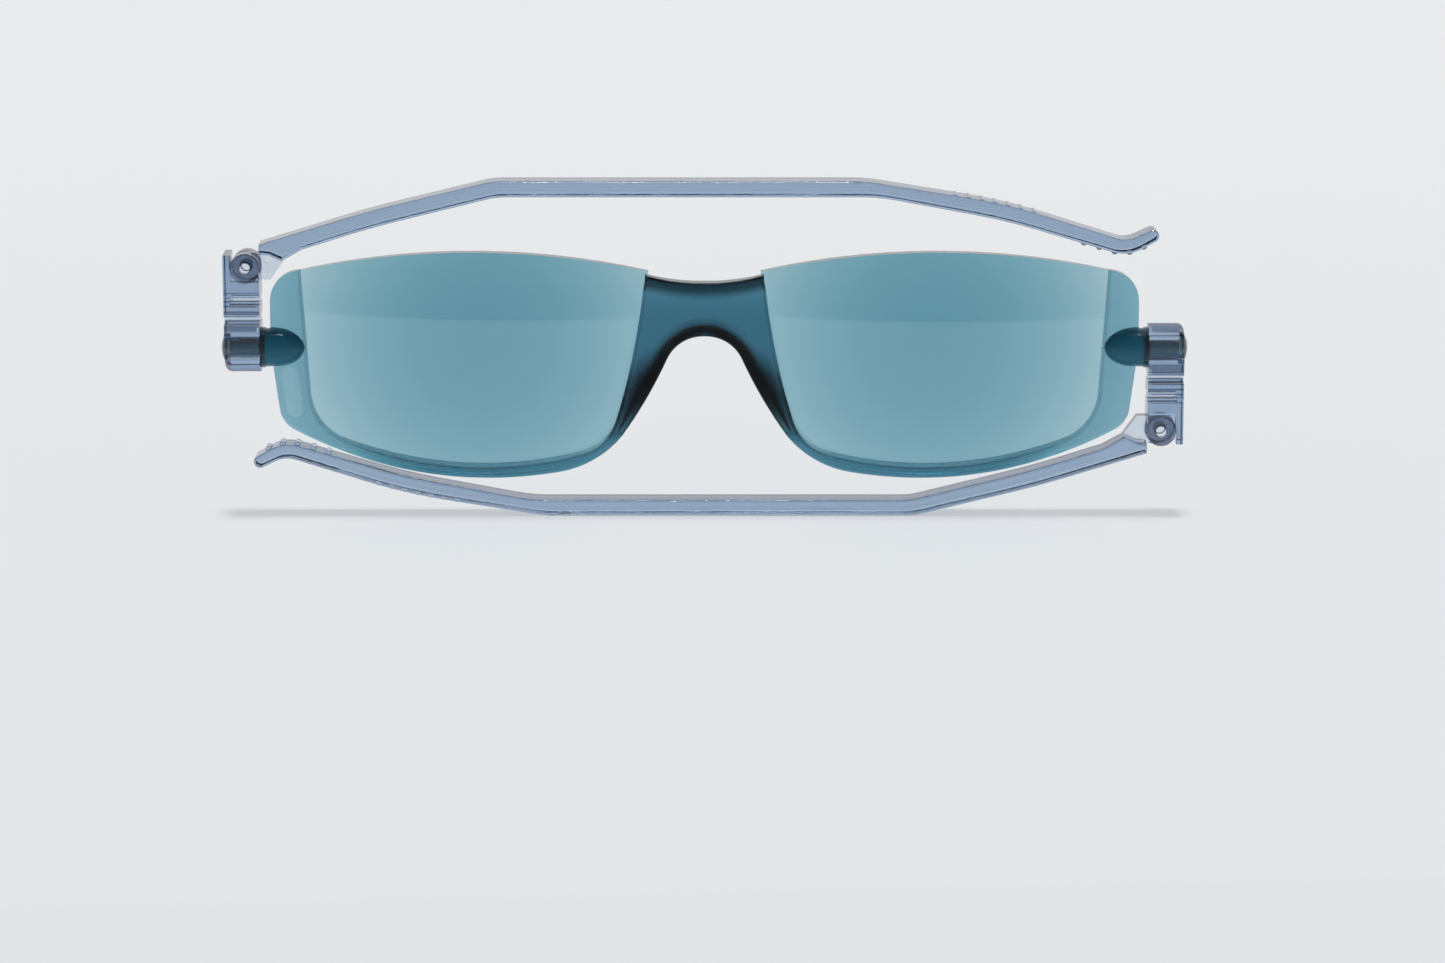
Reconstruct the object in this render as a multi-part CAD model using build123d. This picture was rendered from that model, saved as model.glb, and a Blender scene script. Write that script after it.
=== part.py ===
"""Folding reading glasses, stowed flat and standing on the outer edge of one temple.

The front has a lug at each end. A clear knuckle swivels on each lug, and a clear temple is hinged to
each knuckle. Stowed, one temple lies over the front and the other lies under it, so the whole stack is
one knuckle deep. X runs along the front, Y from its front face to the wearer's face, Z up from the
table. The wearer's right is -X. Each right-hand piece is its left-hand twin, either mirrored or turned
half a turn about the middle.
"""

import os

from build123d import *

# Stack: the swivel axis runs along X at half the stowed height
STOWED_HEIGHT = 50.8
LUG_Z = STOWED_HEIGHT / 2
KNUCKLE_DEPTH = 5.8
TEMPLE_DEPTH = 4.8
RUNNING_GAP = 0.05

# Lens: a meniscus, cut to a half-rim outline
LENS_POWER = 1.5  # dioptres
LENS_INDEX = 1.5
LENS_THICKNESS = 2.2
LENS_FRONT_RADIUS = 180.0
LENS_BACK_RADIUS = 1 / (1 / LENS_FRONT_RADIUS - LENS_POWER / (1000 * (LENS_INDEX - 1)))
LENS_FRONT_Y = -1.9
LENS_CENTRE = (33.5, 26.5)
LENS_NOSE_TOP = (8.9, 37.0)
LENS_PEAK = (35.0, 39.95)
LENS_TEMPLE_TOP = (60.4, 37.05)
LENS_TEMPLE_FOOT = (58.8, 13.4)
LENS_LOW = (33.1, 7.45)
LENS_NOSE_FOOT = (14.6, 10.5)
LENS_NOSE_MID = (10.4, 26.0)
LENS_FOOT_RADII = (8.0, 7.5)  # temple side, nose side
TONGUE = 0.5  # how far the lens edge reaches into the rim

# Front: rim, end pieces and bridge as one moulding
RIM_LIP = 0.55  # rim standing proud of the lens, front and back
ARCH_TOP = 27.3
ARCH_CORNER = (4.1, ARCH_TOP)
NOSE_SIDE = (8.37, 18.35)
NOSE_CORNER = (15.4, 8.0)
RIM_LOW = (33.1, 5.7)
RIM_CORNER = (63.6, 13.7)
END_WAIST = (65.1, 25.0)
END_TOP = (65.1, 37.05)
ARCH_RADIUS = 5.9
NOSE_RADIUS = 15.5
RIM_CORNER_RADIUS = 4.0
END_TOP_RADIUS = 4.8
BRIDGE_MID_TOP = 35.4
BRIDGE_END_TOP = (8.9, 36.6)
BRIDGE_HALF_WIDTH = 17.0
BRIDGE_FRONT_Y = -2.1
BRIDGE_TOP_BACK_Y = -0.2  # the back curves forward to a thin top edge
PAD_BACK_Y = 2.6
FLARE_Y = (-0.9, 0.6, 1.9, 3.1)  # depths at which the widening of the nose gap is given
FLARE_BY = (0.0, 0.35, 1.2, 2.8)  # how much wider the gap is there, each side, at mid-height
FLARE_RADIUS_GAIN = 0.3  # the arch's radius grows by this for each millimetre of flare
BAR_TOP = 12.5  # the deeper bar under the lens, as part of the rim
BAR_END_X = 58.0
BAR_FRONT = ((8.0, -2.1), (33.0, -2.1), (48.0, -1.35), (BAR_END_X, 0.3))
BAR_BACK = ((BAR_END_X, 1.6), (48.0, 2.15), (33.0, 2.2), (8.0, 2.2))
BAR_ROUND = 0.6
RIM_ROUND = 0.3
GAP_ROUND = 0.6
BRIDGE_TOP_ROUND = 0.5
MARK_AT = (-61.9, 18.3)  # the recess behind the right end piece, where the power would be marked
MARK_LENGTH = 8.0
MARK_WIDTH = 2.6
MARK_TILT = 7.0
MARK_DEPTH = 0.35

# Lug, its shaft, and what is on the shaft
LUG_TIP_X = 59.95
LUG_NOSE = 4.6
LUG_RADIUS = 2.9
WASHER_X = 65.75
WASHER_THICKNESS = 0.6
WASHER_RADIUS = 3.05
SHAFT_RADIUS = 1.8
SHAFT_FLAT = 1.62  # from the axis to each of four flats
STEM_RADIUS = 0.9
STEM_LENGTH = 3.2
CAP_RADIUS = 2.3
CAP_RIM = 0.85
CAP_DOME = 0.6

# Knuckle
KNUCKLE_INNER_X = WASHER_X + WASHER_THICKNESS + RUNNING_GAP
KNUCKLE_OUTER_X = 71.75
WALL = 1.0  # the outer wall, which stops the temple when it is in line
BARREL_RADIUS = 3.65
BARREL_ROUND = 1.0
PIN_RISE = 12.4  # from the swivel axis to the hinge pin
PIN_X = 68.45
PIN_RADIUS = 0.85
EAR_RADIUS = 2.2
WALL_TOP = 1.95  # above the pin
GROOVES = ((-5.65, -4.45), (-8.6, -7.35))  # from the pin, low and high edge of each moulded groove
WEB_HALF_DEPTH = 1.2
NOTCH = (-4.75, -4.5)  # shallow notch in the outer wall, from the pin
NOTCH_DEPTH = 0.2
KNUCKLE_ROUND = 0.2

# Temple
EYE_DEPTH = 1.8
EYE_RADIUS = 2.1
ROOT_FROM_PIN = 2.05
TEMPLE_EDGE_RADIUS = 0.4
TEMPLE_OUTER = ((-66.4, 41.25), (-50.0, 46.3), (-31.5, STOWED_HEIGHT), (24.0, STOWED_HEIGHT), (45.0, 47.4),
                (62.95, 41.75), (66.4, 43.4))
TEMPLE_OUTER_RADII = (150.0, 12.0, 25.0, 90.0, 4.0)
TEMPLE_INNER = ((-62.1, 39.3), (-60.0, 40.5), (-50.0, 43.7), (-31.0, 48.4), (26.0, 48.4), (45.0, 44.85),
                (63.15, 39.45), (67.25, 41.75))
TEMPLE_INNER_RADII = (2.0, 150.0, 12.0, 25.0, 90.0, 6.0)
TEMPLE_GUSSET = ((-66.4, 39.8), (-64.9, 39.65), (-63.1, 38.8))
TIP_END = (67.7, 42.55)
FLUTE_HALF_SPAN = 0.45  # the two flutes on each face, either side of the middle line
FLUTE_WIDTH = 0.3
FLUTE_DEPTH = 0.12
FLUTE_LINE = ((-58.5, 42.2), (-50.0, 45.0), (-31.2, 49.7), (25.0, 49.7), (45.0, 46.2), (55.0, 43.25))
FLUTE_RADII = (150.0, 12.0, 25.0, 90.0)
NUB_XS = (56.6, 58.9, 61.2, 63.4, 65.5)
NUB_YS = (-1.1, 1.1)
NUB_RADIUS = 0.5
NUB_STAND = 0.42  # how far each nub stands out of the temple
RIB_RADIUS = 0.5  # grip ribs across the outer edge near the tip, and across the inner edge at mid-length
RIB_SPAN = 3.0
OUTER_RIB_XS = [37.3 + 1.95 * number for number in range(7)]
OUTER_RIB_STAND = 0.18
INNER_RIB_XS = [-6.5 + 2.4 * number for number in range(12)]
INNER_RIB_STAND = 0.1
DIMPLE_AT = (-65.2, 38.7)  # round mark on both faces of the eye's web
DIMPLE_RADIUS = 0.55
DIMPLE_DEPTH = 0.2

PIN_Z = LUG_Z + PIN_RISE
HALF_DEPTH = KNUCKLE_DEPTH / 2
SHAFT_END_X = KNUCKLE_OUTER_X - CAP_RIM


def upright(outline, front, back):
    """A prism of an outline drawn in X and Z, from y = front to y = back."""
    return extrude(Plane.XZ.offset(-back) * outline, amount=back - front)


def along_x(outline, start, end):
    """A prism of an outline drawn in Y and Z, from x = start to x = end."""
    return extrude(Plane.YZ.offset(start) * outline, amount=end - start)


def block(x_range, y_range, z_range):
    """A box between two corners."""
    low, high = zip(x_range, y_range, z_range)
    size = [b - a for a, b in zip(low, high)]
    return Pos(*[(a + b) / 2 for a, b in zip(low, high)]) * Box(*size)


def rod(radius, start, end, height=LUG_Z):
    """A cylinder along X."""
    return Pos((start + end) / 2, 0, height) * Rot(0, 90, 0) * Cylinder(radius, end - start)


def cross_pin(radius, front, back):
    """A cylinder along Y at the left-hand hinge of the upper pair."""
    return Pos(-PIN_X, (front + back) / 2, PIN_Z) * Rot(90, 0, 0) * Cylinder(radius, back - front)


def rounded(face, corner, radius):
    """The face with the corner nearest to a point rounded."""
    return fillet(face.vertices().sort_by_distance((*corner, 0))[0], radius)


def ball(radius, front_y):
    """A ball behind the lens centre, with its front on y = front_y."""
    x, z = LENS_CENTRE
    return Pos(x, front_y + radius, z) * Sphere(radius)


def half_turn(shape):
    """The same piece turned half a turn about the middle of the stack, so upper becomes lower."""
    return Pos(0, 0, LUG_Z) * Rot(0, 180, 0) * Pos(0, 0, -LUG_Z) * shape


def mirrored(shape):
    return mirror(shape, about=Plane.YZ)


# ---- Lens


def lens_outline():
    """The part of the left lens that shows, in X and Z."""
    edges = [
        ThreePointArc(LENS_NOSE_TOP, LENS_PEAK, LENS_TEMPLE_TOP),
        Line(LENS_TEMPLE_TOP, LENS_TEMPLE_FOOT),
        ThreePointArc(LENS_TEMPLE_FOOT, LENS_LOW, LENS_NOSE_FOOT),
        ThreePointArc(LENS_NOSE_FOOT, LENS_NOSE_MID, LENS_NOSE_TOP),
    ]
    face = rounded(make_face(edges), LENS_TEMPLE_FOOT, LENS_FOOT_RADII[0])
    return rounded(face, LENS_NOSE_FOOT, LENS_FOOT_RADII[1])


def lens():
    """The left lens, with a tongue into the rim at its sides and foot, and a bare top edge."""
    shown = lens_outline()
    sky = make_face([
        ThreePointArc(LENS_NOSE_TOP, LENS_PEAK, LENS_TEMPLE_TOP),
        Polyline(LENS_TEMPLE_TOP, (70, 35.9), (70, 50), (0, 50), (0, 35.8), LENS_NOSE_TOP),
    ])
    outline = offset(shown, TONGUE) - sky
    back_y = LENS_FRONT_Y + LENS_THICKNESS
    return (upright(outline, -6, 8) & ball(LENS_FRONT_RADIUS, LENS_FRONT_Y)) - ball(LENS_BACK_RADIUS, back_y)


# ---- Front


def front_silhouette():
    """The left half of the front, in X and Z, as if the lens opening were filled."""
    edges = [
        Line((0, ARCH_TOP), ARCH_CORNER),
        ThreePointArc(ARCH_CORNER, NOSE_SIDE, NOSE_CORNER),
        ThreePointArc(NOSE_CORNER, RIM_LOW, RIM_CORNER),
        Polyline(RIM_CORNER, END_WAIST, END_TOP, BRIDGE_END_TOP),
        ThreePointArc(BRIDGE_END_TOP, (4.5, BRIDGE_MID_TOP + 0.25), (0, BRIDGE_MID_TOP)),
        Line((0, BRIDGE_MID_TOP), (0, ARCH_TOP)),
    ]
    face = make_face(edges)
    for corner, radius in ((ARCH_CORNER, ARCH_RADIUS), (NOSE_CORNER, NOSE_RADIUS),
                           (RIM_CORNER, RIM_CORNER_RADIUS), (END_TOP, END_TOP_RADIUS)):
        face = rounded(face, corner, radius)
    return face


def front_outline():
    """The left half of the front with the lens opening and the lens's bare top cut out of it."""
    above_lens = make_face(Polyline(LENS_NOSE_TOP, (8.9, 45), (60.4, 45), LENS_TEMPLE_TOP, close=True))
    low_strip = make_face(Polyline((8.9, 35), LENS_NOSE_TOP, LENS_TEMPLE_TOP, (60.3, 35), close=True))
    return front_silhouette() - lens_outline() - above_lens - low_strip


def bridge_section():
    """The bridge's depth in Y at each height: nose pads behind, thinning into the rim below."""
    front, back = BRIDGE_FRONT_Y, PAD_BACK_Y
    return make_face([
        Spline((-1.0, 7.5), (-1.55, 12.0), (front, 20.0), tangents=((-0.1, 1), (0, 1))),
        Line((front, 20.0), (front, 37.0)),
        Line((front, 37.0), (BRIDGE_TOP_BACK_Y, 37.0)),
        Spline((BRIDGE_TOP_BACK_Y, 37.0), (1.3, 34.6), (2.15, 32.0), (back, 26.0), (back, 18.0), (1.7, 11.0),
               (1.0, 7.5)),
        Line((1.0, 7.5), (-1.0, 7.5)),
    ])


def lug():
    """The left lug, with its rounded nose let into the end piece, and the flatted shaft beyond it."""
    base = LUG_TIP_X + LUG_NOSE
    nose = EllipticalCenterArc((base, 0), LUG_NOSE, LUG_RADIUS, start_angle=90, arc_size=90)
    body = Polyline((base, LUG_RADIUS), (WASHER_X, LUG_RADIUS), (WASHER_X, 0), (LUG_TIP_X, 0))
    solid = Pos(0, 0, LUG_Z) * revolve(make_face([nose, body]), Axis.X)
    square = Pos(0, LUG_Z) * Rectangle(2 * SHAFT_FLAT, 2 * SHAFT_FLAT)
    shaft = rod(SHAFT_RADIUS, KNUCKLE_INNER_X, SHAFT_END_X) & along_x(square, KNUCKLE_INNER_X, SHAFT_END_X)
    shaft += rod(SHAFT_RADIUS, WASHER_X - 1, KNUCKLE_INNER_X)
    return solid + shaft - rod(STEM_RADIUS, SHAFT_END_X - STEM_LENGTH, SHAFT_END_X + 1)


def silhouette_edges(solid, keep):
    """The edges of the solid that run along the front's silhouette and whose middle is to be kept."""
    silhouette = front_silhouette().faces()[0].outer_wire()
    found = []
    for edge in solid.edges():
        middle = edge @ 0.5
        along = abs((edge % 0.5).Y) < 0.9
        if along and keep(middle) and silhouette.distance_to(Vector(middle.X, middle.Z, 0)) < 0.02:
            found.append(edge)
    return found


def rim():
    """The rim and end piece beyond the bridge, following the lens curve, with rounded outer edges."""
    bridge_end = LENS_NOSE_TOP[0]
    beyond_bridge = front_outline() - Pos(0, LUG_Z) * Rectangle(2 * bridge_end, 60)
    lip_front = ball(LENS_FRONT_RADIUS + RIM_LIP, LENS_FRONT_Y - RIM_LIP)
    lip_back = ball(LENS_BACK_RADIUS - RIM_LIP, LENS_FRONT_Y + LENS_THICKNESS + RIM_LIP)
    solid = (upright(beyond_bridge, -6, 8) & lip_front) - lip_back
    return fillet(silhouette_edges(solid, lambda middle: middle.X > bridge_end + 0.5), RIM_ROUND)


def nose_flare():
    """What is cut away behind the nose gap's front edge, so that the pads curve back to suit the nose."""
    sections = []
    for y, wider in zip(FLARE_Y, FLARE_BY):
        corner = (ARCH_CORNER[0] + 0.75 * wider, ARCH_TOP + 0.8 * wider)
        side = (NOSE_SIDE[0] + 0.95 * wider, NOSE_SIDE[1] + 0.3 * wider)
        foot = (NOSE_CORNER[0] + 0.4 * wider, NOSE_CORNER[1])
        left, left_side, left_foot = ((-x, z) for x, z in (corner, side, foot))
        face = make_face([Line(left, corner), ThreePointArc(corner, side, foot), Line(foot, left_foot),
                          ThreePointArc(left_foot, left_side, left)])
        for point in (corner, left):
            face = rounded(face, point, ARCH_RADIUS + FLARE_RADIUS_GAIN * wider)
        sections.append(Plane.XZ.offset(-y) * face)
    return loft(sections)


def bar():
    """The deeper part of the rim, below the lens, rounded along its outer edges."""
    plan = make_face([Spline(*BAR_FRONT), Line(BAR_FRONT[-1], BAR_BACK[0]), Spline(*BAR_BACK),
                      Line(BAR_BACK[-1], BAR_FRONT[0])])
    low = front_outline() & Pos(0, BAR_TOP - 10) * Rectangle(2 * BAR_END_X, 20)
    low -= Pos(0, BAR_TOP) * Rectangle(2 * LENS_NOSE_TOP[0], 40)
    solid = upright(low, -6, 8) & extrude(plan, amount=BAR_TOP)
    return fillet(silhouette_edges(solid, lambda middle: 9.4 < middle.X < BAR_END_X - 0.5), BAR_ROUND)


def bridge():
    """The left half of the bridge with its nose pad, rounded over its top and round the nose gap."""
    near_nose = front_outline() & Pos(BRIDGE_HALF_WIDTH / 2, LUG_Z) * Rectangle(BRIDGE_HALF_WIDTH, 60)
    solid = upright(near_nose, -6, 8) & along_x(bridge_section(), -1, BRIDGE_HALF_WIDTH + 1)
    solid -= nose_flare()
    top_edges = [e for e in solid.edges() if abs(e.center().X - BRIDGE_END_TOP[0] / 2) < 0.5
                 and e.center().Z > BRIDGE_MID_TOP and e.length > 3]
    solid = fillet(top_edges, BRIDGE_TOP_ROUND)
    front_of_gap = silhouette_edges(
        solid, lambda middle: middle.X > 0.1 and middle.Y < FLARE_Y[0] - 0.2 and middle.Z < ARCH_TOP + 0.2)
    return fillet(front_of_gap, GAP_ROUND)


def half_front():
    """The left half of the front moulding, up to the middle of the bridge."""
    return rim() + bar() + bridge() + lug() - lens()


def mark_recess():
    """The blank, pill-shaped recess in the back of the right end piece."""
    pill = Pos(*MARK_AT) * Rot(0, 0, 90 + MARK_TILT) * SlotOverall(MARK_LENGTH, MARK_WIDTH)
    floor_y = LENS_FRONT_Y + LENS_THICKNESS + RIM_LIP - MARK_DEPTH
    return upright(pill, -6, 8) & mirrored(ball(LENS_BACK_RADIUS - RIM_LIP + MARK_DEPTH, floor_y))


def front_frame():
    half = half_front()
    return half + mirrored(half) - mark_recess()


# ---- Swivel


def washer():
    """The thin ring between the left lug and its knuckle."""
    disc = rod(WASHER_RADIUS, WASHER_X, WASHER_X + WASHER_THICKNESS)
    return disc - rod(SHAFT_RADIUS, WASHER_X - 1, WASHER_X + 1)


def cap():
    """The domed cap whose stem is pressed into the left shaft."""
    start = SHAFT_END_X - STEM_LENGTH
    dome_radius = (CAP_RADIUS**2 + CAP_DOME**2) / (2 * CAP_DOME)
    crown = (KNUCKLE_OUTER_X + CAP_DOME, 0)
    brim = (KNUCKLE_OUTER_X, CAP_RADIUS)
    dome = RadiusArc(brim, crown, dome_radius)
    stem = Polyline(crown, (start, 0), (start, STEM_RADIUS), (SHAFT_END_X, STEM_RADIUS),
                    (SHAFT_END_X, CAP_RADIUS), brim)
    return Pos(0, 0, LUG_Z) * revolve(make_face([dome, *stem.edges()]), Axis.X)


def knuckle():
    """The right knuckle, standing up from the swivel axis to the hinge pin."""
    inner, outer, wall = -KNUCKLE_INNER_X, -KNUCKLE_OUTER_X, -(KNUCKLE_OUTER_X - WALL)
    depth = (-HALF_DEPTH, HALF_DEPTH)
    slot = (-EYE_DEPTH / 2 - RUNNING_GAP, EYE_DEPTH / 2 + RUNNING_GAP)
    full_width = (outer, inner)
    shoulder = PIN_Z - EAR_RADIUS - 0.12
    slab = block(full_width, depth, (LUG_Z - 10, PIN_Z + 10))
    barrel = rod(BARREL_RADIUS, outer, inner)
    barrel = fillet(barrel.edges().sort_by(Axis.X)[0], BARREL_ROUND)
    body = barrel + block(full_width, depth, (LUG_Z, PIN_Z))
    body += block((outer, wall), depth, (LUG_Z, PIN_Z + WALL_TOP))
    body += cross_pin(EAR_RADIUS, *depth)
    body &= slab
    face_edges = [e for e in body.edges()
                  if all(abs(abs(point.Y) - HALF_DEPTH) < 0.01 for point in (e @ 0, e @ 0.5, e @ 1))]
    body = fillet(face_edges, KNUCKLE_ROUND)
    body -= block((wall, inner + 5), slot, (shoulder, PIN_Z + 9))
    whole_depth = (-HALF_DEPTH - 1, HALF_DEPTH + 1)
    body -= block((outer - 1, outer + NOTCH_DEPTH), whole_depth, (PIN_Z + NOTCH[0], PIN_Z + NOTCH[1]))
    for number, (low, high) in enumerate(GROOVES):
        reach = (wall, inner + 1) if number == 0 else (outer - 1, inner + 1)
        for cut in ((-HALF_DEPTH - 1, -WEB_HALF_DEPTH), (WEB_HALF_DEPTH, HALF_DEPTH + 1)):
            groove = block(reach, cut, (PIN_Z + low, PIN_Z + high))
            body -= fillet(groove.edges().filter_by(Axis.X), 0.22)
    body -= rod(SHAFT_RADIUS + RUNNING_GAP, outer - 1, inner + 1)
    body -= rod(CAP_RADIUS + 0.1, outer - 1, -(SHAFT_END_X - RUNNING_GAP))
    return body - cross_pin(PIN_RADIUS, *depth)


def hinge_pin():
    """The right hinge pin, flush with both ears."""
    pin = cross_pin(PIN_RADIUS, -HALF_DEPTH, HALF_DEPTH)
    return chamfer(pin.edges(), 0.1)


# ---- Temple


def temple_outline():
    """The right temple's side outline as it lies over the front, in X and Z."""
    outer = FilletPolyline(*TEMPLE_OUTER, radius=TEMPLE_OUTER_RADII)
    inner = FilletPolyline(*TEMPLE_INNER, radius=TEMPLE_INNER_RADII)
    tip = ThreePointArc(TEMPLE_OUTER[-1], TIP_END, TEMPLE_INNER[-1])
    root = Polyline(TEMPLE_OUTER[0], *TEMPLE_GUSSET, TEMPLE_INNER[0])
    return make_face([*outer.edges(), tip, *inner.edges(), *root.edges()])


def eye_outline():
    """The eye and the thin web that joins it to the temple's root."""
    eye = Pos(-PIN_X, PIN_Z) * Circle(EYE_RADIUS)
    root_x = -PIN_X + ROOT_FROM_PIN
    top, foot = PIN_Z + EYE_RADIUS, PIN_Z - EYE_RADIUS
    web = Polyline((-PIN_X, top), (root_x, top), (root_x + 0.3, 40.5), (-61.9, 40.6), (-62.1, 39.6),
                   (-64.9, foot), (-PIN_X, foot), close=True)
    return eye + make_face(web)


def flutes():
    """Two fine lengthwise grooves, as an outline in X and Z."""
    middle = FilletPolyline(*FLUTE_LINE, radius=FLUTE_RADII)
    return [trace(offset_line, FLUTE_WIDTH) for offset_line in
            (Pos(0, shift) * middle for shift in (-FLUTE_HALF_SPAN, FLUTE_HALF_SPAN))]


def height_at(edge, x, pick):
    """Where an upper or lower edge of the temple lies at x."""
    return pick(v.Y for v in (edge & Line((x, 30), (x, 52))).vertices())


def nubs():
    """Grip nubs on the inner side of the tip."""
    inner_edge = FilletPolyline(*TEMPLE_INNER, radius=TEMPLE_INNER_RADII)
    solids = []
    for x in NUB_XS:
        height = height_at(inner_edge, x, min) + NUB_RADIUS - NUB_STAND
        solids += [Pos(x, y, height) * Sphere(NUB_RADIUS) for y in NUB_YS]
    return solids


def ribs():
    """Low grip ribs across the temple's outer and inner edges."""
    outer_edge = FilletPolyline(*TEMPLE_OUTER, radius=TEMPLE_OUTER_RADII)
    inner_edge = FilletPolyline(*TEMPLE_INNER, radius=TEMPLE_INNER_RADII)
    places = [(x, height_at(outer_edge, x, max) + OUTER_RIB_STAND - RIB_RADIUS) for x in OUTER_RIB_XS]
    places += [(x, height_at(inner_edge, x, min) - INNER_RIB_STAND + RIB_RADIUS) for x in INNER_RIB_XS]
    return [Pos(x, 0, z) * Rot(90, 0, 0) * Cylinder(RIB_RADIUS, RIB_SPAN) for x, z in places]


def temple():
    half = TEMPLE_DEPTH / 2
    beam = upright(temple_outline(), -half, half)
    long_edges = [e for e in beam.edges() if abs(abs(e.center().Y) - half) < 0.01]
    beam = fillet(long_edges, TEMPLE_EDGE_RADIUS)
    for flute in flutes():
        beam -= upright(flute, -half - 1, -half + FLUTE_DEPTH)
        beam -= upright(flute, half - FLUTE_DEPTH, half + 1)
    beam += nubs() + ribs()
    eye = upright(eye_outline(), -EYE_DEPTH / 2, EYE_DEPTH / 2)
    dimple = Pos(*DIMPLE_AT) * Circle(DIMPLE_RADIUS)
    eye -= upright(dimple, -half, -EYE_DEPTH / 2 + DIMPLE_DEPTH)
    eye -= upright(dimple, EYE_DEPTH / 2 - DIMPLE_DEPTH, half)
    return beam + eye - cross_pin(PIN_RADIUS + RUNNING_GAP, -half, half)


def write(name, shape):
    export_step(shape, os.path.join("parts", name + ".step"))
    print(name, round(shape.volume, 1), "mm3")


def main():
    os.makedirs("parts", exist_ok=True)
    write("front_frame", front_frame())
    for side, place in (("left", lambda s: s), ("right", mirrored)):
        write("lens_" + side, place(lens()))
        write("swivel_washer_" + side, place(washer()))
        write("swivel_cap_" + side, place(cap()))
    for side, place in (("right", lambda s: s), ("left", half_turn)):
        write("knuckle_" + side, place(knuckle()))
        write("hinge_pin_" + side, place(hinge_pin()))
        write("temple_" + side, place(temple()))


main()
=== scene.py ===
"""Looks for the folding reading glasses: materials, floor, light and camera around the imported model."""

import math

import bpy
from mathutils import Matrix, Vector


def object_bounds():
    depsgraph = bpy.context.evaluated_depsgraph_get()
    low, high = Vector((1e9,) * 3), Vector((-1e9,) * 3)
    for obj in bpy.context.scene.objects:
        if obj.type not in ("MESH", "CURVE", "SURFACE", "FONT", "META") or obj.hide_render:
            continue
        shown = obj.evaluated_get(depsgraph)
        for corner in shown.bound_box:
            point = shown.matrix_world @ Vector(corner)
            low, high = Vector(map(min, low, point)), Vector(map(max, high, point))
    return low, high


MM = 0.001
SIDES = ("right", "left")

# How much each clear plastic takes from red, green and blue, per millimetre
LENS_TEAL = (0.83, 0.43, 0.33)
FRONT_TEAL = (0.74, 0.385, 0.30)
PALE_BLUE = (0.212, 0.154, 0.094)
SMOKE = (0.75, 0.50, 0.42)
WATER_CLEAR = (0.05, 0.04, 0.02)

# Colours of the front's surface, from its clear end pieces to its nose pads, whose near-black is painted
# shade
FRONT_CLEAR = (0.92, 0.97, 1.0)
LUG_TEAL = (0.033, 0.19, 0.29)
# The shafts inside the barrels get a brighter teal than the lugs: painted light, where too little light
# reaches them
SHAFT_PAINTED_LIGHT_TEAL = (0.05, 0.36, 0.52)
PAD_PAINTED_SHADE = (0.004, 0.012, 0.018)
FRONT_GLOSS = (0.3, 0.3, 0.3)
FRONT_CLARITY = 0.96
LUG_CLARITY = 0.25
# Strength of the painted shade along the top of the bridge
BRIDGE_TOP_PAINTED_SHADE = 0.6

# Painted shade for the clear pieces' dark outlines: the colour each takes on where its surface is seen at a
# grazing angle
BLUE_EDGE_PAINTED_SHADE = (0.03, 0.06, 0.14)
CAP_EDGE_PAINTED_SHADE = (0.2, 0.25, 0.3)
PIN_EDGE_PAINTED_SHADE = (0.2, 0.25, 0.35)

# The CAD part's own sizes, in millimetres
LUG_BASE_X = 64.55
LUG_NOSE = 4.6
LUG_RADIUS = 2.9
KNUCKLE_INNER_X = 66.9
PIN_X = 68.45
PIN_RISE = 12.4
PIN_RADIUS = 0.85
EAR_RADIUS = 2.2
ARCH_RADIUS = 5.9
ARCH_CENTRE_Z = 21.4
GAP_SHOULDER_X = 5.27
GAP_SHOULDER_Z = 24.44
GAP_SLOPE = 0.437
GAP_CURVE = 0.0125
GAP_COSINE = 0.88  # turns a level distance from the side of the nose gap into a square one
BRIDGE_TOP_Z = 35.3
BRIDGE_TOP_CURVE = 0.015

# Where each painted shade of the front starts to fade and where it ends, in millimetres
PAD_SIDE_FADE = (1.2, 4.4)  # from the side of the nose gap
PAD_ARCH_FADE = (-0.2, 2.7)  # from the arch of the nose gap
PAD_TO_ARCH_Z = (21.0, 25.5)  # heights over which the side's shade gives way to the arch's
PAD_FOOT_Z = (10.5, 18.5)  # heights over which the shade rises from the pad's foot
PAD_OUTER_X = (14.0, 17.0)
BRIDGE_TOP_FADE = (1.1, 2.5)  # below the top of the bridge
BRIDGE_END_X = (9.0, 9.4)

# The painted dark lines and discs of shade on the knuckles and temples, in millimetres
EAR_PAINTED_SHADE = 0.26
RING_PAINTED_SHADE = 0.8
RING_HALF_WIDTH = 0.18
# Above or below the swivel axis: height, strength and half-width of each painted dark line of shade on the
# knuckles
KNUCKLE_PAINTED_LINES = ((7.95, 0.8, 0.16), (6.7, 0.9, 0.2), (5.9, 0.5, 0.16), (5.05, 0.9, 0.25), (3.2, 0.85, 0.55))

# The floor's colour far off and near the camera; the darker near colour is painted shade
FLOOR_FAR = (0.80, 0.81, 0.82)
FLOOR_NEAR_PAINTED_SHADE = (0.75, 0.775, 0.80)

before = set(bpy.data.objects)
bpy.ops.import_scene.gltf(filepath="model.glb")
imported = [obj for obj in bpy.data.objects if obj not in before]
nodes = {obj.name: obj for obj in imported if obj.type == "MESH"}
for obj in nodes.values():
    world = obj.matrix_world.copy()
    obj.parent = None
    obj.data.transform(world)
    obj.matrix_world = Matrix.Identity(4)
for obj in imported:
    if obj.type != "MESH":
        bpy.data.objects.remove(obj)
cad_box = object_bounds()
SWIVEL_Z = sum(corner[2] for corner in cad_box) / 2 / MM


# ---- Materials


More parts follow.
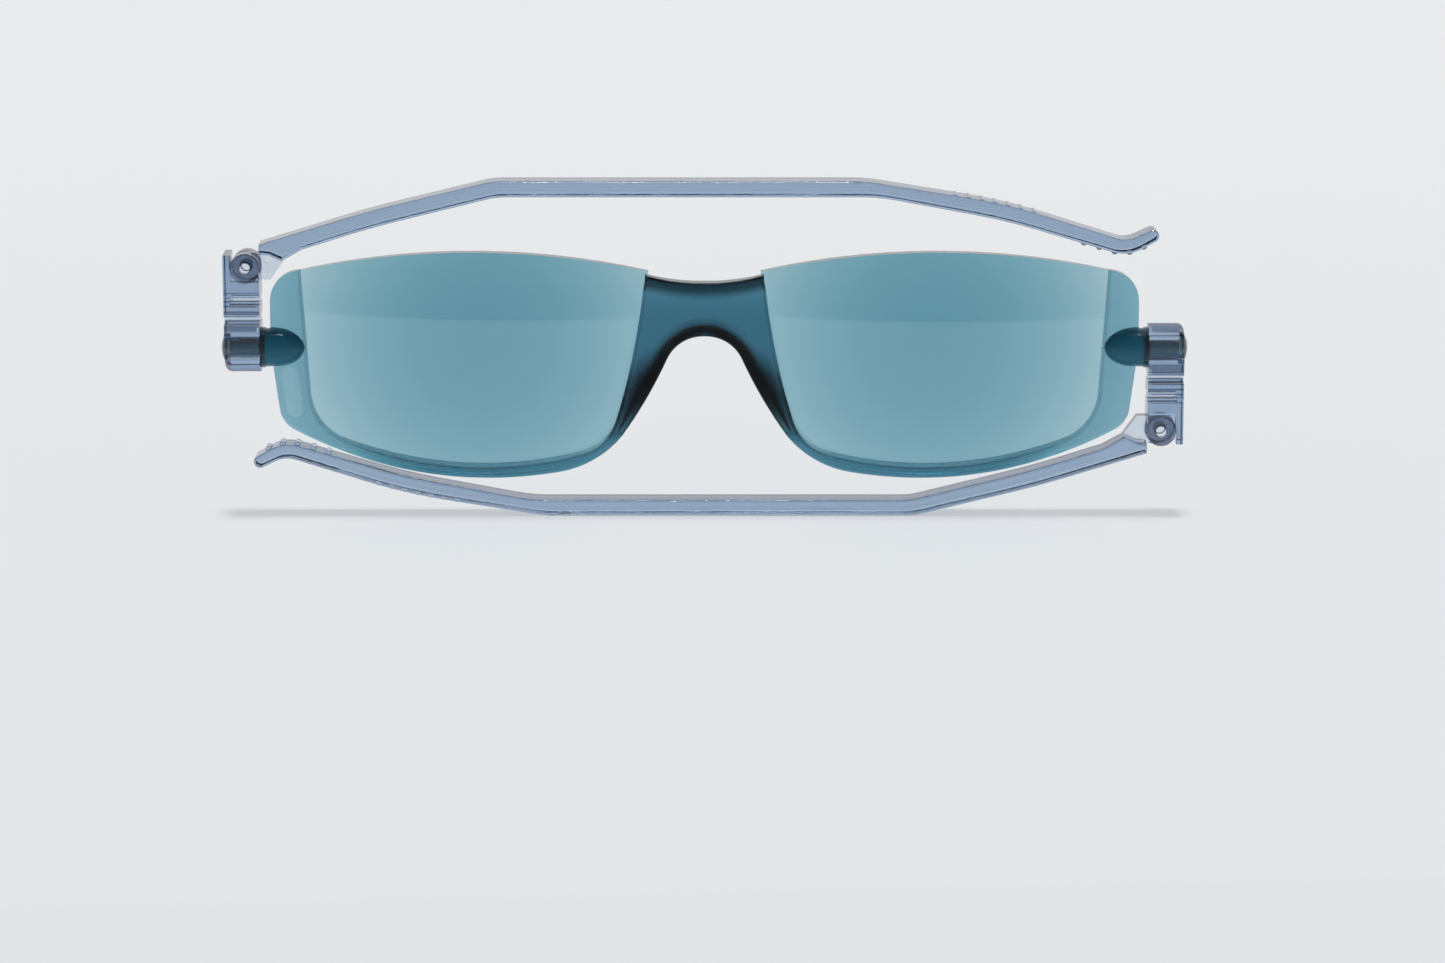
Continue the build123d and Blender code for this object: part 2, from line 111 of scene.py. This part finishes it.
class Graph:
    """A material's node tree, with short ways to add and join nodes."""

    def __init__(self, name):
        self.material = bpy.data.materials.new(name)
        self.material.use_nodes = True
        self.tree = self.material.node_tree
        self.tree.nodes.clear()
        self.output = self.add("ShaderNodeOutputMaterial")

    def add(self, kind, **settings):
        node = self.tree.nodes.new(kind)
        for key, value in settings.items():
            setattr(node, key, value)
        return node

    def feed(self, node, socket, value):
        if isinstance(value, bpy.types.NodeSocket):
            self.tree.links.new(value, node.inputs[socket])
        else:
            node.inputs[socket].default_value = value

    def noise(self, scale, detail=3.0, stretch=(1, 1, 1)):
        coords = self.add("ShaderNodeTexCoord")
        mapping = self.add("ShaderNodeMapping")
        self.feed(mapping, "Vector", coords.outputs["Object"])
        self.feed(mapping, "Scale", stretch)
        texture = self.add("ShaderNodeTexNoise")
        self.feed(texture, "Vector", mapping.outputs["Vector"])
        self.feed(texture, "Scale", scale)
        self.feed(texture, "Detail", detail)
        return texture.outputs["Fac"]

    def ranged(self, value, low, high, start=0.3, end=0.7):
        node = self.add("ShaderNodeMapRange")
        self.feed(node, "Value", value)
        self.feed(node, "From Min", start)
        self.feed(node, "From Max", end)
        self.feed(node, "To Min", low)
        self.feed(node, "To Max", high)
        return node.outputs["Result"]

    def blend(self, first, second, factor):
        node = self.add("ShaderNodeMix")
        self.feed(node, "Factor", factor)
        self.feed(node, "A", first)
        self.feed(node, "B", second)
        return node.outputs["Result"]

    def colours(self, first, second, factor):
        node = self.add("ShaderNodeMix", data_type="RGBA")
        self.feed(node, "Factor", factor)
        for socket, colour in ((6, first), (7, second)):
            self.feed(node, socket, (*colour, 1) if isinstance(colour, tuple) else colour)
        return node.outputs[2]

    def fade(self, value, limits):
        """One below the first limit, nought above the second."""
        return self.ranged(value, 1.0, 0.0, *limits)

    def rise(self, value, limits):
        """Nought below the first limit, one above the second."""
        return self.ranged(value, 0.0, 1.0, *limits)

    def length(self, first, second):
        squares = [self.maths("POWER", value, 2.0) for value in (first, second)]
        return self.maths("SQRT", self.maths("ADD", *squares))

    def maths(self, operation, first, second=0.0):
        node = self.add("ShaderNodeMath", operation=operation)
        self.feed(node, 0, first)
        self.feed(node, 1, second)
        return node.outputs["Value"]


def absorb(graph, absorbed):
    """Beer-Lambert absorption through the piece."""
    top = max(absorbed)
    volume = graph.add("ShaderNodeVolumeAbsorption")
    graph.feed(volume, "Color", (*(1 - value / top for value in absorbed), 1))
    graph.feed(volume, "Density", top / MM)
    graph.feed(graph.output, "Volume", volume.outputs["Volume"])


def clear_plastic(name, absorbed, rough, ior, bumps=()):
    """A see-through plastic that darkens with depth, with its bumps laid one over another."""
    graph = Graph(name)
    shader = graph.shader = graph.add("ShaderNodeBsdfPrincipled")
    graph.feed(shader, "Base Color", (1, 1, 1, 1))
    graph.feed(shader, "Transmission Weight", 1.0)
    graph.feed(shader, "IOR", ior)
    graph.feed(shader, "Roughness", graph.ranged(graph.noise(180.0), rough[0], rough[1]))
    for scale, strength, distance, stretch in bumps:
        bump = graph.add("ShaderNodeBump")
        graph.feed(bump, "Height", graph.noise(scale, stretch=stretch))
        graph.feed(bump, "Strength", strength)
        graph.feed(bump, "Distance", distance)
        earlier = shader.inputs["Normal"].links
        if earlier:
            graph.feed(bump, "Normal", earlier[0].from_socket)
        graph.feed(shader, "Normal", bump.outputs["Normal"])
    absorb(graph, absorbed)
    graph.feed(graph.output, "Surface", shader.outputs["BSDF"])
    return graph


class Place:
    """Object coordinates in millimetres, as nodes, with sideways distance from the middle."""

    def __init__(self, graph):
        coords = graph.add("ShaderNodeTexCoord")
        split = graph.add("ShaderNodeSeparateXYZ")
        graph.feed(split, "Vector", coords.outputs["Object"])
        self.out = graph.maths("MULTIPLY", graph.maths("ABSOLUTE", split.outputs["X"]), 1 / MM)
        self.back = graph.maths("MULTIPLY", split.outputs["Y"], 1 / MM)
        self.up = graph.maths("MULTIPLY", split.outputs["Z"], 1 / MM)


def line(graph, distance, amount, half_width):
    """A soft painted dark line of shade, as strong as amount, where the distance is nought."""
    return graph.ranged(graph.maths("ABSOLUTE", distance), amount, 0.0, 0.5 * half_width, half_width)


def hinge_painted_shade(graph, place):
    """Painted shade: the darker discs around the hinge pins with dark rings at the pins' and discs' edges,
    and the dark lines at the knuckles' moulded corners.
    """
    rise = graph.maths("ABSOLUTE", graph.maths("SUBTRACT", place.up, SWIVEL_Z))
    sideways = graph.maths("SUBTRACT", place.out, PIN_X)
    from_pin = graph.length(sideways, graph.maths("SUBTRACT", rise, PIN_RISE))
    amount = graph.ranged(from_pin, EAR_PAINTED_SHADE, 0.0, EAR_RADIUS - 0.05, EAR_RADIUS + 0.05)
    for radius in (PIN_RADIUS, EAR_RADIUS):
        ring = line(graph, graph.maths("SUBTRACT", from_pin, radius), RING_PAINTED_SHADE, RING_HALF_WIDTH)
        amount = graph.maths("MAXIMUM", amount, ring)
    knuckle = graph.rise(place.out, (KNUCKLE_INNER_X - 0.1, KNUCKLE_INNER_X))
    for height, strength, half_width in KNUCKLE_PAINTED_LINES:
        band = line(graph, graph.maths("SUBTRACT", rise, height), strength, half_width)
        amount = graph.maths("MAXIMUM", amount, graph.maths("MULTIPLY", band, knuckle))
    return amount


def painted_edge_shade(graph, outline_shade, hinges=False):
    """Darkens the base colour where a surface is seen at a grazing angle: painted shade that draws the fine
    dark outlines of clear plastic.
    """
    grazing = graph.add("ShaderNodeLayerWeight")
    graph.feed(grazing, "Blend", 0.5)
    amount = graph.rise(grazing.outputs["Facing"], (0.15, 0.7))
    if hinges:
        amount = graph.maths("MAXIMUM", amount, hinge_painted_shade(graph, Place(graph)))
    graph.feed(graph.shader, "Base Color", graph.colours((1, 1, 1), outline_shade, amount))
    return graph.material


def lug_mask(graph, place):
    """One on the two swivel lugs and their shafts, nought elsewhere on the front."""
    rise = graph.maths("SUBTRACT", place.up, SWIVEL_Z)
    off_axis = graph.length(rise, place.back)
    into_nose = graph.maths("MAXIMUM", graph.maths("SUBTRACT", LUG_BASE_X, place.out), 0.0)
    reach = graph.maths("MULTIPLY", into_nose, 1 / LUG_NOSE)
    remains = graph.maths("MAXIMUM", graph.maths("SUBTRACT", 1.0, graph.maths("POWER", reach, 2.0)), 0.0)
    radius = graph.maths("MULTIPLY", graph.maths("SQRT", remains), LUG_RADIUS)
    return graph.fade(graph.maths("SUBTRACT", off_axis, radius), (0.03, 0.12))


def nose_painted_shade_mask(graph, place):
    """How deep the painted shade on the thick nose pads is: most at the edge of the nose gap, none at the
    lens.
    """
    below = graph.maths("MAXIMUM", graph.maths("SUBTRACT", GAP_SHOULDER_Z, place.up), 0.0)
    half_gap = graph.maths("ADD", graph.maths("MULTIPLY", below, GAP_SLOPE), GAP_SHOULDER_X)
    widening = graph.maths("MULTIPLY", graph.maths("POWER", below, 2.0), GAP_CURVE)
    half_gap = graph.maths("ADD", half_gap, widening)
    from_side = graph.maths("MULTIPLY", graph.maths("SUBTRACT", place.out, half_gap), GAP_COSINE)
    above = graph.maths("SUBTRACT", place.up, ARCH_CENTRE_Z)
    from_arch = graph.maths("SUBTRACT", graph.length(place.out, above), ARCH_RADIUS)
    side = graph.fade(from_side, PAD_SIDE_FADE)
    arch = graph.fade(from_arch, PAD_ARCH_FADE)
    shade = graph.blend(side, arch, graph.rise(place.up, PAD_TO_ARCH_Z))
    shade = graph.maths("MULTIPLY", shade, graph.rise(place.up, PAD_FOOT_Z))
    return graph.maths("MULTIPLY", shade, graph.fade(place.out, PAD_OUTER_X))


def bridge_top_painted_shade_mask(graph, place):
    """The painted shade along the top of the bridge, where its back curves forward."""
    dip = graph.maths("MULTIPLY", graph.maths("POWER", place.out, 2.0), BRIDGE_TOP_CURVE)
    depth = graph.maths("SUBTRACT", graph.maths("ADD", dip, BRIDGE_TOP_Z), place.up)
    return graph.maths("MULTIPLY", graph.fade(depth, BRIDGE_TOP_FADE), graph.fade(place.out, BRIDGE_END_X))


def satin_front():
    """The front's teal satin plastic, nearly opaque in its thick lugs, with painted shade on its nose pads
    and along the top of the bridge, and a brighter teal on the shafts in the barrels as painted light.
    """
    graph = clear_plastic("teal_satin", FRONT_TEAL, (0.16, 0.26), 1.5, bumps=[FINE_GRAIN])
    graph.feed(graph.shader, "Specular Tint", (*FRONT_GLOSS, 1))
    place = Place(graph)
    lug = lug_mask(graph, place)
    graph.feed(graph.shader, "Transmission Weight", graph.blend(FRONT_CLARITY, LUG_CLARITY, lug))
    # Painted shade: the nose pads and the top of the bridge are darkened towards near-black
    bridge_top = graph.maths("MULTIPLY", bridge_top_painted_shade_mask(graph, place), BRIDGE_TOP_PAINTED_SHADE)
    shade = graph.maths("MAXIMUM", nose_painted_shade_mask(graph, place), bridge_top)
    light_left = graph.maths("POWER", graph.maths("SUBTRACT", 1.0, shade), 2.0)
    body = graph.colours(FRONT_CLEAR, PAD_PAINTED_SHADE, graph.maths("SUBTRACT", 1.0, light_left))
    # Painted light: the shafts inside the barrels get a brighter teal than the lugs
    in_barrel = graph.rise(place.out, (KNUCKLE_INNER_X - 0.2, KNUCKLE_INNER_X))
    lug_teal_and_painted_shaft_light = graph.colours(LUG_TEAL, SHAFT_PAINTED_LIGHT_TEAL, in_barrel)
    graph.feed(graph.shader, "Base Color", graph.colours(body, lug_teal_and_painted_shaft_light, lug))
    return graph.material


def floor_material():
    """A pale satin table that is a little darker near the camera, as painted shade."""
    graph = Graph("pale_table")
    shader = graph.add("ShaderNodeBsdfPrincipled")
    coords = graph.add("ShaderNodeTexCoord")
    place = graph.add("ShaderNodeSeparateXYZ")
    graph.feed(place, "Vector", coords.outputs["Object"])
    nearness = graph.ranged(place.outputs["Y"], 0.0, 1.0, 0.5, -0.25)
    lighter = tuple(1.01 * value for value in FLOOR_FAR)
    cloud = graph.colours(FLOOR_FAR, lighter, graph.rise(graph.noise(2.0), (0.3, 0.7)))
    graph.feed(shader, "Base Color", graph.colours(cloud, FLOOR_NEAR_PAINTED_SHADE, nearness))
    graph.feed(shader, "Roughness", 0.75)
    graph.feed(shader, "Specular IOR Level", 0.2)
    graph.feed(graph.output, "Surface", shader.outputs["BSDF"])
    return graph.material


def matte(name, colour):
    graph = Graph(name)
    shader = graph.add("ShaderNodeBsdfDiffuse")
    graph.feed(shader, "Color", (*colour, 1))
    graph.feed(graph.output, "Surface", shader.outputs["BSDF"])
    return graph.material


def wear(obj, material):
    obj.data.materials.clear()
    obj.data.materials.append(material)


# Bumps: a noise's scale, strength, distance and stretch
FINE_GRAIN = (1500.0, 0.25, 0.04 * MM, (1, 1, 1))
LONG_LINES = (2500.0, 0.35, 0.03 * MM, (0.01, 1, 1))
SLOW_WAVES = (90.0, 0.1, 0.2 * MM, (0.2, 1, 1))

front_plastic = satin_front()
lens_plastic = clear_plastic("teal_lens", LENS_TEAL, (0.0, 0.02), 1.59).material
blue_plastic = clear_plastic("clear_blue", PALE_BLUE, (0.02, 0.06), 1.5, bumps=[SLOW_WAVES, LONG_LINES])
# Painted shade: dark outlines where the surface is seen at a grazing angle, and dark discs, rings and lines
# at the hinges
clear_blue = painted_edge_shade(blue_plastic, BLUE_EDGE_PAINTED_SHADE, hinges=True)
cap_plastic = painted_edge_shade(clear_plastic("smoke_cap", SMOKE, (0.04, 0.1), 1.5), CAP_EDGE_PAINTED_SHADE)
pin_plastic = painted_edge_shade(clear_plastic("clear_pin", WATER_CLEAR, (0.02, 0.06), 1.5), PIN_EDGE_PAINTED_SHADE)

wear(nodes["front_frame"], front_plastic)
for side in SIDES:
    wear(nodes["lens_" + side], lens_plastic)
    wear(nodes["swivel_washer_" + side], front_plastic)
    wear(nodes["swivel_cap_" + side], cap_plastic)
    wear(nodes["knuckle_" + side], clear_blue)
    wear(nodes["temple_" + side], clear_blue)
    wear(nodes["hinge_pin_" + side], pin_plastic)


# ---- Floor, reflected dark room, light


def sheet(name, corners, material):
    mesh = bpy.data.meshes.new(name)
    mesh.from_pydata(corners, [], [range(len(corners))])
    obj = bpy.data.objects.new(name, mesh)
    bpy.context.scene.collection.objects.link(obj)
    wear(obj, material)
    return obj


floor = sheet("floor", [(-6, -6, 0), (6, -6, 0), (6, 6, 0), (-6, 6, 0)], floor_material())

# X and Y of the dark room's near edge, in metres
ROOM_EDGE = ((-3.0, -0.24), (-0.2, -0.215), (0.2, -0.185), (3.0, -0.16))
ROOM_LIFT = 0.001
dark = matte("dark_room", (0.03, 0.03, 0.03))
room_outline = ((-3, -3), (3, -3), *reversed(ROOM_EDGE))
room = [
    sheet("dark_room_floor", [(x, y, ROOM_LIFT) for x, y in room_outline], dark),
    sheet("dark_room_wall", [(-3, -3, 0), (3, -3, 0), (3, -3, 2), (-3, -3, 2)], dark),
]
for card in room:
    card.visible_camera = False
    card.visible_diffuse = False
    card.visible_transmission = False
    card.visible_shadow = False


def overhead_light(name, angle, strength, lean, floor_only=None):
    """A broad light from almost straight above, leaning towards the camera by a few degrees.

    With floor_only, it lights nothing but that piece and casts no shadow.
    """
    data = bpy.data.lights.new(name, "SUN")
    data.angle = math.radians(angle)
    data.energy = strength
    obj = bpy.data.objects.new(name, data)
    obj.rotation_euler = (math.radians(-lean), 0, 0)
    bpy.context.scene.collection.objects.link(obj)
    if floor_only is not None:
        data.use_shadow = False
        data.cycles.use_multiple_importance_sampling = False
        lit = bpy.data.collections.new(name + "_lights")
        lit.objects.link(floor_only)
        obj.light_linking.receiver_collection = lit


overhead_light("overhead_fill", 14.0, 1.86, 4.0, floor_only=floor)
overhead_light("overhead_key", 9.0, 0.86, 1.0)


def studio_world():
    """Bright towards the backdrop, dim to the flanks and the camera.

    Matt surfaces get it fainter still, and the camera sees it as one even tone.
    """
    world = bpy.data.worlds.new("studio")
    world.use_nodes = True
    tree = world.node_tree
    background = tree.nodes["Background"]

    def join(kind, inputs, result="Result", operation=None):
        node = tree.nodes.new(kind)
        if operation:
            node.operation = operation
        for socket, value in inputs.items():
            if isinstance(value, bpy.types.NodeSocket):
                tree.links.new(value, node.inputs[socket])
            else:
                node.inputs[socket].default_value = value
        return node.outputs[result]

    def ranged(value, start, end, low, high):
        limits = {"From Min": start, "From Max": end, "To Min": low, "To Max": high}
        return join("ShaderNodeMapRange", {"Value": value, **limits})

    coords = tree.nodes.new("ShaderNodeTexCoord")
    split = tree.nodes.new("ShaderNodeSeparateXYZ")
    tree.links.new(coords.outputs["Generated"], split.inputs["Vector"])
    backdrop = ranged(split.outputs["Y"], -0.15, 0.35, 0.03, 1.0)
    sideways = join("ShaderNodeMath", {0: split.outputs["X"]}, "Value", "ABSOLUTE")
    flanks = ranged(sideways, 0.35, 0.85, 1.0, 0.08)
    level = join("ShaderNodeMath", {0: backdrop, 1: flanks}, "Value", "MULTIPLY")
    path = tree.nodes.new("ShaderNodeLightPath")
    for ray, value in (("Is Diffuse Ray", 0.15), ("Is Camera Ray", 0.83)):
        level = join("ShaderNodeMix", {"Factor": path.outputs[ray], "A": level, "B": value})
    background.inputs["Color"].default_value = (0.985, 0.995, 1.0, 1)
    tree.links.new(level, background.inputs["Strength"])
    bpy.context.scene.world = world


studio_world()


# ---- Camera

CAMERA_AIM = Vector((0.0027, 0, 0.0048))
CAMERA_DISTANCE = 0.785
CAMERA_DOWN = math.radians(12.0)
FRAME_WIDTH_AT_AIM = 0.2178

camera_data = bpy.data.cameras.new("camera")
camera_data.sensor_width = 36.0
camera_data.lens = 36.0 * CAMERA_DISTANCE / FRAME_WIDTH_AT_AIM
camera = bpy.data.objects.new("camera", camera_data)
camera.location = CAMERA_AIM + CAMERA_DISTANCE * Vector((0, -math.cos(CAMERA_DOWN), math.sin(CAMERA_DOWN)))
camera.rotation_euler = (CAMERA_AIM - camera.location).to_track_quat("-Z", "Y").to_euler()
bpy.context.scene.collection.objects.link(camera)
bpy.context.scene.camera = camera

bpy.context.scene.view_settings.view_transform = "Standard"
